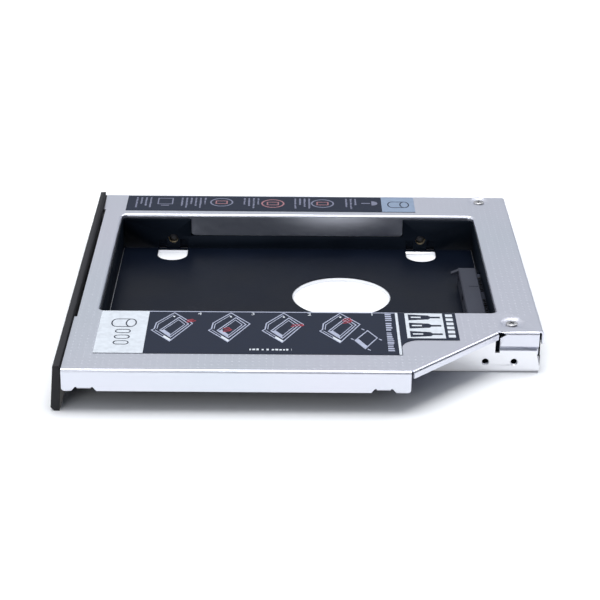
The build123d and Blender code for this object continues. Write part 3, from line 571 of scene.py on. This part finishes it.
sideScrewSet = {
    "head": ((1.45, 0.0), (2.3, 0.0), (2.4, 0.12), (2.36, 1.2), (2.05, 1.6), (1.45, 1.7)),
    "rim": 2.4,
    "height": 4.2,
    "crossScale": 1.35,
}


def makeSideScrews():
    low, high = placeOf("side_screws")
    head = sideScrewSet["head"]
    seat = high.y - head[-1][1]
    spots = (low.x + sideScrewSet["rim"], high.x - sideScrewSet["rim"])
    homes = [sidewaysAt(x, seat, sideScrewSet["height"]) for x in spots]
    mesh = makeScrew(head, low.y - seat, sideScrewSet["crossScale"])
    placeCopies("sideScrewPiece", "side_screws", mesh, blackOxide, homes)


insertSet = {
    "steps": 32,
    "body": 1.9,
    "flange": 2.5,
    "flangeDepth": 0.6,
    "screwGap": 0.03,
    "mouthGap": 0.15,
    "tailGap": 0.1,
}


def makeInserts():
    low, high = placeOf("side_inserts")
    length = high.y - low.y
    neck = length - insertSet["flangeDepth"]
    body, flange = insertSet["body"], insertSet["flange"]
    bore = sideScrewSet["head"][0][0] + insertSet["screwGap"]
    pitch = threadSet["pitch"]
    profile = [(body, 0.0), (body, neck), (flange, neck), (flange, length)]
    profile.append((bore + insertSet["mouthGap"], length))
    for turn in range(int(length / pitch) - 1, 0, -1):
        level = turn * pitch
        profile += [(bore, level + pitch / 2), (bore + threadSet["depth"], level)]
    profile.append((bore + insertSet["tailGap"], 0.0))
    bm = spinProfile(profile, insertSet["steps"], closed=True)
    bmesh.ops.recalc_face_normals(bm, faces=bm.faces)
    spots = (low.x + flange, high.x - flange)
    homes = [sidewaysAt(x, low.y, sideScrewSet["height"]) for x in spots]
    placeCopies("sideInsertPiece", "side_inserts", toMesh(bm, "insert"), brass, homes)


bracketHoleSet = {
    "places": (110.7, 118.4),
    "face": 24.61,
    "height": 3.2,
    "steps": 32,
    "radius": 0.995,
    "root": 0.955,
    "crest": 0.80,
    "lip": 0.28,
    "depth": 0.96,
}


def makeBracketThreads():
    radius, root, crest = (bracketHoleSet[name] for name in ("radius", "root", "crest"))
    lip, depth = bracketHoleSet["lip"], bracketHoleSet["depth"]
    pitch = threadSet["pitch"]
    profile = [(radius, 0.0), (crest, lip)]
    level = lip + pitch / 2
    while level + pitch / 2 < depth:
        profile += [(root, level), (crest, level + pitch / 2)]
        level += pitch
    profile.append((radius, depth))
    bm = spinProfile(profile, bracketHoleSet["steps"])
    bmesh.ops.recalc_face_normals(bm, faces=bm.faces)
    bmesh.ops.reverse_faces(bm, faces=bm.faces)      # the wall of a hole faces its axis
    homes = [sidewaysAt(x, bracketHoleSet["face"], bracketHoleSet["height"])
             for x in bracketHoleSet["places"]]
    placeCopies("bracketThreads", None, toMesh(bm, "bracketThread"), shellSheet, homes)


makeBracketThreads()
makeCoverScrews()
makeBaseScrews()
makeBoardScrews()
makeSideScrews()
makeInserts()


# Print on the stickers: fields and bands laid on the film, then raised a little

printSet = {
    "thickness": 0.02,
    "line": 0.34,
    "thinLine": 0.24,
    "mitreLimit": 0.4,
    "drumShare": 0.27,
    "tallness": (0.72, 1.0),
    "gaps": (0.28, 0.28, 0.28, 0.7),        # in letter heights, the last between words
}


def drawField(bm, points, level, ink):
    face = bm.faces.new([bm.verts.new(at(x, y, level)) for x, y in points])
    face.material_index = ink


def boxCorners(x, y):
    return (x[0], y[0]), (x[1], y[0]), (x[1], y[1]), (x[0], y[1])


def drawBand(bm, points, width, level, ink, closed=False):
    flat = [Vector(point) for point in points]
    count = len(flat)
    rails = []
    for index, point in enumerate(flat):
        before = flat[index - 1] if closed or index else point * 2 - flat[1]
        after = flat[(index + 1) % count] if closed or index < count - 1 else point * 2 - flat[-2]
        leaving = (after - point).normalized().orthogonal()
        across = ((point - before).normalized().orthogonal() + leaving).normalized()
        reach = across * (width / 2 / max(across.dot(leaving), printSet["mitreLimit"]))
        rails.append([bm.verts.new(at(*(point + way * reach), level)) for way in (1, -1)])
    pairs = list(zip(rails, rails[1:])) + ([(rails[-1], rails[0])] if closed else [])
    for first, second in pairs:
        face = bm.faces.new((first[0], first[1], second[1], second[0]))
        face.material_index = ink


def ovalPoints(centre, reach, start=0.0, sweep=fullTurn, steps=20):
    spans = steps if sweep == fullTurn else steps - 1
    angles = [start + sweep * step / spans for step in range(steps)]
    return [(centre[0] + reach[0] * math.cos(angle), centre[1] + reach[1] * math.sin(angle))
            for angle in angles]


def drawWords(bm, start, way, length, height, ink, level, widths, seed):
    chance = random.Random(seed)
    along = Vector(way)
    over = along.orthogonal()
    spot = 0.0
    while spot < length:
        reach = min(chance.uniform(*widths), length - spot)
        tall = height * chance.uniform(*printSet["tallness"])
        first = Vector(start) + along * spot
        last = first + along * reach
        drawField(bm, (first, last, last + over * tall, first + over * tall), level, ink)
        spot += reach + height * chance.choice(printSet["gaps"])


def drawDrum(bm, x, y, width, level, ink):
    middle = (y[0] + y[1]) / 2
    reach = ((y[1] - y[0]) * printSet["drumShare"], (y[1] - y[0]) / 2)
    right = x[1] - reach[0]
    drawBand(bm, ovalPoints((right, middle), reach), width, level, ink, True)
    left = ovalPoints((x[0] + reach[0], middle), reach, quarterTurn, halfTurn, steps=11)
    drawBand(bm, [(right, y[1])] + left + [(right, y[0])], width, level, ink)


def raisePrint(bm):
    raised = bmesh.ops.extrude_face_region(bm, geom=bm.faces[:], use_keep_orig=True)
    tops = [item for item in raised["geom"] if isinstance(item, bmesh.types.BMVert)]
    bmesh.ops.translate(bm, verts=tops, vec=(0, 0, printSet["thickness"] * mm))
    bmesh.ops.recalc_face_normals(bm, faces=bm.faces)


nearInks = [whiteInk, lineInk, redInk, slateInk]
white, grey, red, dark = range(4)

# Red arrows on the small drawings: strokes that lean and stagger, and a head
arrowSet = {
    "line": 0.42,
    "lean": 0.3,
    "stagger": 0.3,
    "strokeEnd": 0.8,
    "headLength": 1.0,
    "headShare": 0.45,
}

# One small drawing of a tray, in shares of its width and depth
traySet = {
    "outline": ((0, 0), (0.03, 0.10), (-0.147, 0.315), (0, 1), (1, 1), (1, 0)),
    "fold": ((0.107, 0.15), (-0.035, 0.318), (0.07, 0.92)),
    "front": ((0.10, 0.07), (0.60, 0.07)),
    "plug": ((0.62, 0.015), (0.98, 0.015), (0.98, 0.08), (0.60, 0.08)),
    "window": ((0.265, 0.157), (0.336, 0.937), (0.90, 0.90), (0.87, 0.139)),
    "drive": ((0.36, 0.25), (0.42, 0.85), (0.80, 0.82), (0.78, 0.23)),
    "shade": ((0.30, 0.17), (0.84, 0.155), (0.78, 0.22), (0.36, 0.24)),
    "dot": (0.15, 0.87),
    "dotReach": (0.3, 0.45),
}

nearSet = {
    "whiteEnd": 20.1,
    "drum": ((10.5, 17.0), (26.4, 31.3)),
    "ringMiddles": (23.5, 19.9, 16.3),
    "ringEnds": (12.9, 14.9),
    "ringReach": (0.95, 1.05),
    # corner, width and depth of each drawing
    "trays": (
        ((21.4, 24.3), (5.2, -6.9), (5.5, 11.4)),
        ((36.6, 24.4), (5.3, -7.1), (5.6, 11.4)),
        ((50.9, 24.4), (5.3, -7.3), (5.6, 11.5)),
        ((66.2, 24.4), (5.2, -7.2), (5.6, 11.7)),
    ),
    # place on the tray, width, height and number of strokes of each arrow
    "arrows": ((0.86, 1.06, 2.6, 2.0, 3), (0.55, 0.38, 2.5, 3.0, 3),
               (0.87, 0.86, 3.7, 1.9, 2), (0.50, 0.88, 2.9, 3.6, 4)),
    "digits": ((33.2, 34.4), (47.6, 34.5), (62.9, 34.4), (79.9, 34.7)),
    "digitSize": 2.3,
    "footLine": {"start": (47.7, 12.1), "way": (1, 0), "length": 11.0, "height": 1.1,
                 "widths": (0.35, 0.8), "seed": 3},
    "titleLine": {"start": (83.9, 36.0), "way": (0, -1), "length": 24.4, "height": 1.8,
                  "widths": (0.5, 1.0), "seed": 5},
    "drive": ((75.4, 18.6), (78.9, 24.9), (81.3, 20.3), (77.9, 13.6)),
    "driveShade": ((75.5, 18.5), (77.9, 13.9), (78.6, 14.9), (76.3, 19.6)),
    "driveScrews": ((74.7, 19.4), (77.7, 25.6), (82.1, 19.2), (78.9, 12.9)),
    "screwHalf": (0.35, 0.4),
    "screwLine": 0.4,
    "topLine": 0.45,
    "divider": (86.7, 87.4),
    "pinField": ((89.3, 99.5), (20.3, 36.4)),
    "pinMiddles": (33.7, 28.3, 22.9),
    "pinSide": ((90.2, 1.9), (95.6, 1.3), (96.2, 0.5), (98.8, 0.5)),
    "pinSlot": ((90.9, 93.6), 0.4),
    "blocks": {"count": 6, "first": 20.9, "pitch": 2.65, "width": 1.7, "span": (100.3, 102.2)},
}


def drawArrow(bm, centre, width, height, strokes, level):
    left, right = centre.x - width / 2, centre.x + width / 2
    lean = arrowSet["lean"]
    for stroke in range(strokes):
        y = centre.y + height * ((stroke + 0.5) / strokes - 0.5)
        shift = arrowSet["stagger"] * (stroke % 2)
        ends = ((left + shift, y - lean), (right - arrowSet["strokeEnd"] + shift, y + lean))
        drawBand(bm, ends, arrowSet["line"], level, red)
    back = right - arrowSet["headLength"]
    half = height * arrowSet["headShare"]
    drawField(bm, ((back, centre.y + half), (back, centre.y - half), (right, centre.y)), level, red)


def drawTray(bm, tray, arrow, level):
    corner, along, back = (Vector(part) for part in tray)

    def place(points):
        return [corner + along * s + back * t for s, t in points]

    line, thin = printSet["line"], printSet["thinLine"]
    drawBand(bm, place(traySet["outline"]), line, level, grey, True)
    drawBand(bm, place(traySet["fold"]), thin, level, grey)
    drawBand(bm, place(traySet["front"]), thin, level, grey)
    drawField(bm, place(traySet["plug"]), level, white)
    drawBand(bm, place(traySet["window"]), line, level, grey, True)
    drawBand(bm, place(traySet["drive"]), thin, level, grey, True)
    drawField(bm, place(traySet["shade"]), level, grey)
    dot = place([traySet["dot"]])[0]
    drawField(bm, ovalPoints(dot, traySet["dotReach"], steps=10), level, white)
    s, t, width, height, strokes = arrow
    drawArrow(bm, place([(s, t)])[0], width, height, strokes, level + printSet["thickness"])


def drawDigit(bm, digit, spot, size, level, ink):
    data = bpy.data.curves.new("digit", "FONT")
    data.body = digit
    data.size = size * mm
    thing = bpy.data.objects.new("digit", data)
    scene.collection.objects.link(thing)
    mesh = bpy.data.meshes.new_from_object(thing)
    bpy.data.objects.remove(thing)
    bpy.data.curves.remove(data)
    mesh.transform(Matrix.Translation(at(*spot, level)))
    before = len(bm.faces)
    bm.from_mesh(mesh)
    bm.faces.ensure_lookup_table()
    for face in bm.faces[before:]:
        face.material_index = ink
    bpy.data.meshes.remove(mesh)


def drawWhiteEnd(bm, low, high, level, upper):
    drawField(bm, boxCorners((low.x, nearSet["whiteEnd"]), (low.y, high.y)), level, white)
    drawDrum(bm, *nearSet["drum"], printSet["line"], upper, dark)
    left, right = nearSet["ringEnds"]
    reach = nearSet["ringReach"]
    for middle in nearSet["ringMiddles"]:
        ring = ovalPoints((left, middle), reach, quarterTurn, halfTurn, steps=7)
        ring += ovalPoints((right, middle), reach, -quarterTurn, halfTurn, steps=7)
        drawBand(bm, ring, printSet["line"], upper, dark, True)


def drawDrive(bm, level, upper):
    drawBand(bm, nearSet["drive"], printSet["line"], level, grey, True)
    drawField(bm, nearSet["driveShade"], upper, grey)
    along, across = nearSet["screwHalf"]
    for x, y in nearSet["driveScrews"]:
        ends = ((x - along, y + across), (x + along, y - across))
        drawBand(bm, ends, nearSet["screwLine"], upper, grey)


def drawPins(bm, level, upper):
    drawField(bm, boxCorners(*nearSet["pinField"]), level, white)
    side = nearSet["pinSide"]
    slot, half = nearSet["pinSlot"]
    for middle in nearSet["pinMiddles"]:
        pin = [(x, middle - reach) for x, reach in side] + [(x, middle + reach) for x, reach in side[::-1]]
        drawField(bm, pin, upper, dark)
        corners = boxCorners(slot, (middle - half, middle + half))
        drawField(bm, corners, upper + printSet["thickness"], white)
    blocks = nearSet["blocks"]
    for step in range(blocks["count"]):
        near = blocks["first"] + step * blocks["pitch"]
        drawField(bm, boxCorners(blocks["span"], (near, near + blocks["width"])), level, white)


def makeNearPrint():
    low, high = placeOf("near_label")
    level = high.z
    upper = level + printSet["thickness"]
    divider = nearSet["divider"]
    bm = bmesh.new()
    drawWhiteEnd(bm, low, high, level, upper)
    for tray, arrow in zip(nearSet["trays"], nearSet["arrows"]):
        drawTray(bm, tray, arrow, level)
    for digit, spot in zip("4321", nearSet["digits"]):
        drawDigit(bm, digit, spot, nearSet["digitSize"], level, white)
    drawWords(bm, **nearSet["footLine"], ink=white, level=level)
    drawDrive(bm, level, upper)
    drawWords(bm, **nearSet["titleLine"], ink=grey, level=level)
    topLine = boxCorners((nearSet["whiteEnd"], divider[0]), (high.y - nearSet["topLine"], high.y))
    drawField(bm, topLine, level, grey)
    drawField(bm, boxCorners(divider, (low.y, high.y)), level, white)
    drawPins(bm, level, upper)
    raisePrint(bm)
    finishPiece("nearPrint", bm, nearInks)
    print("near print made")


farInks = [paleInk, roseInk, blueInk, slateInk]
pale, rose, blue, deep = range(4)

farSet = {
    # left end and number of lines of each column of text
    "columns": ((9.6, 4), (23.8, 6), (43.4, 4), (59.4, 4), (75.4, 3)),
    "linePitch": 1.45,
    "lineReach": 8.8,
    "lineStep": 1.6,
    "lineInset": 1.6,
    "letters": {"way": (0, -1), "height": 0.62, "widths": (0.5, 1.6)},
    "seeds": (11, 7),           # the first, and the step from column to column
    "rings": ((36.5, 121.2, pale), (52.6, 120.4, rose), (68.2, 120.7, pale)),
    "ringReach": (3.4, 3.4),
    "ringLine": 0.5,
    "ringBox": (1.7, 1.2),
    "boxLine": 0.4,
    "screen": ((16.6, 21.1), (119.4, 124.4)),
    "stand": ((17.6, 20.1), (117.9, 118.5)),
    "shade": ((83.6, 121.2), (1.9, 1.9)),
    "stem": ((80.4, 83.2), (120.9, 121.5)),
    "blueStart": 86.7,
    "drum": ((88.7, 95.2), (117.6, 122.6)),
    "drumLine": 0.38,
}


def drawColumns(bm, top, level):
    firstSeed, seedStep = farSet["seeds"]
    for column, (left, count) in enumerate(farSet["columns"]):
        for step in range(count):
            start = (left + step * farSet["linePitch"], top - farSet["lineInset"])
            length = farSet["lineReach"] - farSet["lineStep"] * ((step * 2 + column) % 3)
            seed = firstSeed + column * seedStep + step
            drawWords(bm, start, length=length, ink=pale, level=level, seed=seed, **farSet["letters"])


def makeFarPrint():
    low, high = placeOf("far_label")
    level = high.z
    upper = level + printSet["thickness"]
    bm = bmesh.new()
    drawColumns(bm, high.y, level)
    along, across = farSet["ringBox"]
    for x, y, ink in farSet["rings"]:
        ring = ovalPoints((x, y), farSet["ringReach"], steps=28)
        drawBand(bm, ring, farSet["ringLine"], level, ink, True)
        inner = boxCorners((x - along, x + along), (y - across, y + across))
        drawBand(bm, inner, farSet["boxLine"], level, rose, True)
    drawBand(bm, boxCorners(*farSet["screen"]), farSet["boxLine"], level, pale, True)
    drawField(bm, boxCorners(*farSet["stand"]), level, pale)
    drawField(bm, ovalPoints(*farSet["shade"], -quarterTurn, halfTurn, steps=9), level, pale)
    drawField(bm, boxCorners(*farSet["stem"]), level, pale)
    drawField(bm, boxCorners((farSet["blueStart"], high.x), (low.y, high.y)), level, blue)
    drawDrum(bm, *farSet["drum"], farSet["drumLine"], upper, deep)
    raisePrint(bm)
    finishPiece("farPrint", bm, farInks)
    print("far print made")


makeNearPrint()
makeFarPrint()


# Floor, light and background, in metres and watts

lightSet = {
    "floorSize": 6.0,
    "floorSeen": (0.965, 0.98, 1.0),
    "floorBounce": (0.27, 0.29, 0.35),
    "mirrorWhite": 0.32,
    # height in the sky and colour, from the horizon up
    "sky": ((0.0, (0.06, 0.065, 0.085)), (0.33, (0.50, 0.53, 0.58)), (0.95, (0.66, 0.67, 0.70))),
    "frontDark": 0.32,          # the sky is darker to the front and to the right
    "rightDark": 0.6,
    # place, size and power
    "softboxes": {
        "overhead": ((0.06, 0.07, 1.3), 0.92, 11.7),
        "left": ((-1.3, 0.1, 0.8), 0.7, 2.2),
        "right": ((0.95, 0.62, 1.1), 0.5, 3.0),
        "front": ((-0.6, -1.3, 0.5), 0.7, 3.5),
    },
}


def combine(owner, operation, first, second):
    step = addNode(owner, "ShaderNodeMath", operation=operation)
    join(owner, first, step.inputs[0])
    if isinstance(second, float):
        step.inputs[1].default_value = second
    else:
        join(owner, second, step.inputs[1])
    return step.outputs["Value"]


def mixShaders(owner, share, first, second):
    mix = addNode(owner, "ShaderNodeMixShader")
    join(owner, share, mix.inputs["Fac"])
    join(owner, first, mix.inputs[1])
    join(owner, second, mix.inputs[2])
    return mix.outputs["Shader"]


# The camera and shiny pieces see a white floor, and light that bounces off it is
# dimmer. A shiny piece counts only before the first diffuse bounce, so that the
# shadow stays dark
def floorMaterial():
    beforeBounce = 0.5          # above a depth of 0 and below a depth of 1
    material = bpy.data.materials.new("white floor")
    material.use_nodes = True
    material.node_tree.nodes.clear()
    output = addNode(material, "ShaderNodeOutputMaterial")
    plain = addNode(material, "ShaderNodeBsdfDiffuse", Color=(*lightSet["floorBounce"], 1))
    seen = addNode(material, "ShaderNodeBsdfDiffuse", Color=(*lightSet["floorSeen"], 1))
    glow = addNode(material, "ShaderNodeEmission", Color=(1, 1, 1, 1), Strength=1.0)
    path = addNode(material, "ShaderNodeLightPath").outputs
    bounce = combine(material, "MAXIMUM", path["Is Glossy Ray"], path["Is Transmission Ray"])
    early = combine(material, "LESS_THAN", path["Diffuse Depth"], beforeBounce)
    mirror = combine(material, "MULTIPLY", bounce, early)
    direct = combine(material, "MAXIMUM", path["Is Camera Ray"], mirror)
    share = combine(material, "MULTIPLY", mirror, lightSet["mirrorWhite"])
    lit = mixShaders(material, direct, plain.outputs["BSDF"], seen.outputs["BSDF"])
    mirrored = mixShaders(material, share, lit, glow.outputs["Emission"])
    join(material, mirrored, output.inputs["Surface"])
    return material


def makeFloor():
    bm = bmesh.new()
    bmesh.ops.create_grid(bm, x_segments=1, y_segments=1, size=lightSet["floorSize"] / 2)
    floor = bpy.data.objects.new("floor", toMesh(bm, "floor"))
    scene.collection.objects.link(floor)
    floor.data.materials.append(floorMaterial())


def makeWorld():
    world = bpy.data.worlds.new("studio")
    scene.world = world
    world.use_nodes = True
    world.node_tree.nodes.clear()
    output = addNode(world, "ShaderNodeOutputWorld")
    coords = addNode(world, "ShaderNodeTexCoord")
    lean = addNode(world, "ShaderNodeVectorMath", operation="DOT_PRODUCT")
    lean.inputs[1].default_value = (-lightSet["rightDark"], lightSet["frontDark"], 1)
    ramp = addNode(world, "ShaderNodeValToRGB")
    stops = ramp.color_ramp.elements
    (lowest, horizon), (halfway, middle), (highest, ceiling) = lightSet["sky"]
    stops[0].position = lowest
    stops[0].color = (*horizon, 1)
    stops[1].position = highest
    stops[1].color = (*ceiling, 1)
    stops.new(halfway).color = (*middle, 1)
    soft = addNode(world, "ShaderNodeBackground")
    plain = addNode(world, "ShaderNodeBackground", Color=(1, 1, 1, 1))
    path = addNode(world, "ShaderNodeLightPath").outputs
    join(world, coords.outputs["Generated"], lean.inputs[0])
    join(world, lean.outputs["Value"], ramp.inputs["Fac"])
    join(world, ramp.outputs["Color"], soft.inputs["Color"])
    sky, backdrop = soft.outputs["Background"], plain.outputs["Background"]
    join(world, mixShaders(world, path["Is Camera Ray"], sky, backdrop), output.inputs["Surface"])


def makeSoftbox(name, place, size, power):
    data = bpy.data.lights.new(name, "AREA")
    data.shape = "SQUARE"
    data.size = size
    data.energy = power
    lamp = bpy.data.objects.new(name, data)
    scene.collection.objects.link(lamp)
    lamp.location = place
    lamp.rotation_euler = Vector(place).to_track_quat("Z", "Y").to_euler()


makeFloor()
makeWorld()
for name, box in lightSet["softboxes"].items():
    makeSoftbox(name, *box)
print("stage lit")
